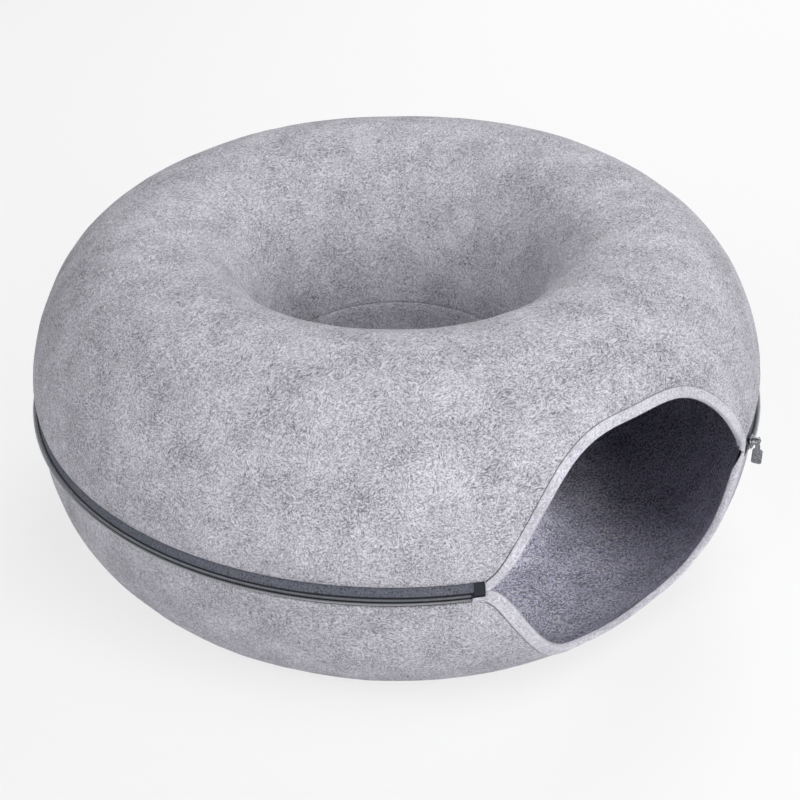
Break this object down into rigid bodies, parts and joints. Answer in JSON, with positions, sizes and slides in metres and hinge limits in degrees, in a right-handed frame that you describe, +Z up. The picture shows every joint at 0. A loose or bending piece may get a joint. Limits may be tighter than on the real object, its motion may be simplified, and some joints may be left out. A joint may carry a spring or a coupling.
{
  "type": "pet tunnel",
  "caption": "Ring-shaped felt tunnel for a cat: moulded felt halves zipped together round the outside and round the hole's wall, with a bound entrance in the side",
  "frame": {"origin": "middle of the footprint's bounding box on the floor; the ring's own axis lies 11 mm in front of it, because the entrance shortens the ring's front", "axes": "+Z up, the entrance faces -Y, +X to the right of somebody who looks into the entrance"},
  "size_m": [0.5982, 0.5777, 0.277],
  "materials": {
    "felt": "moulded grey melange felt with long loose fibres",
    "binding_felt": "pale grey felt strip, folded and stitched",
    "zip_tape": "woven slate grey polyester tape",
    "zip_coil": "dark grey nylon coil",
    "tape_film": "black moulded nylon and welded film",
    "slider_metal": "grey plated die cast metal"
  },
  "bodies": {
    "lower_half": {"lower_felt_shell": "felt", "lower_entrance_binding": "binding_felt", "outer_lower_zip_tape": "zip_tape", "outer_lower_zip_coil": "zip_coil", "outer_lower_top_stop": "slider_metal", "outer_retainer_box": "tape_film", "zip_end_patch": "binding_felt", "inner_lower_zip_tape": "zip_tape", "inner_lower_zip_coil": "zip_coil", "inner_lower_top_stop": "slider_metal", "inner_retainer_box": "tape_film"},
    "upper_half": {"upper_felt_shell": "felt", "upper_entrance_binding": "binding_felt", "outer_upper_zip_tape": "zip_tape", "outer_upper_zip_coil": "zip_coil", "outer_upper_top_stop": "slider_metal", "outer_insertion_pin": "slider_metal", "outer_tape_end_film": "tape_film", "inner_upper_zip_tape": "zip_tape", "inner_upper_zip_coil": "zip_coil", "inner_upper_top_stop": "slider_metal", "inner_insertion_pin": "slider_metal"},
    "outer_slider": {"outer_slider_body": "slider_metal"},
    "outer_pull": {"outer_slider_pull": "slider_metal"},
    "inner_slider": {"inner_slider_body": "slider_metal"},
    "inner_pull": {"inner_slider_pull": "slider_metal"}
  },
  "joints": [
    {"name": "upper_half_lift", "type": "slide", "parent": "lower_half", "child": "upper_half", "axis": [0, 0, 1], "range_m": [0, 0.3]},
    {"name": "outer_slider_run", "type": "hinge", "parent": "upper_half", "child": "outer_slider", "pos_m": [0, -0.01099, 0.142], "axis": [0, 0, 1], "range_deg": [0, 300]},
    {"name": "outer_pull_swing", "type": "hinge", "parent": "outer_slider", "child": "outer_pull", "pos_m": [0.14675, -0.27738, 0.14429], "axis": [-0.8759, -0.4825, 0], "range_deg": [0, 170]},
    {"name": "inner_slider_run", "type": "hinge", "parent": "upper_half", "child": "inner_slider", "pos_m": [0, -0.01099, 0.142], "axis": [0, 0, 1], "range_deg": [0, 345]},
    {"name": "inner_pull_swing", "type": "hinge", "parent": "inner_slider", "child": "inner_pull", "pos_m": [0.01316, -0.13218, 0.142], "axis": [-0.9942, -0.108, 0], "range_deg": [0, 170]}
  ]
}
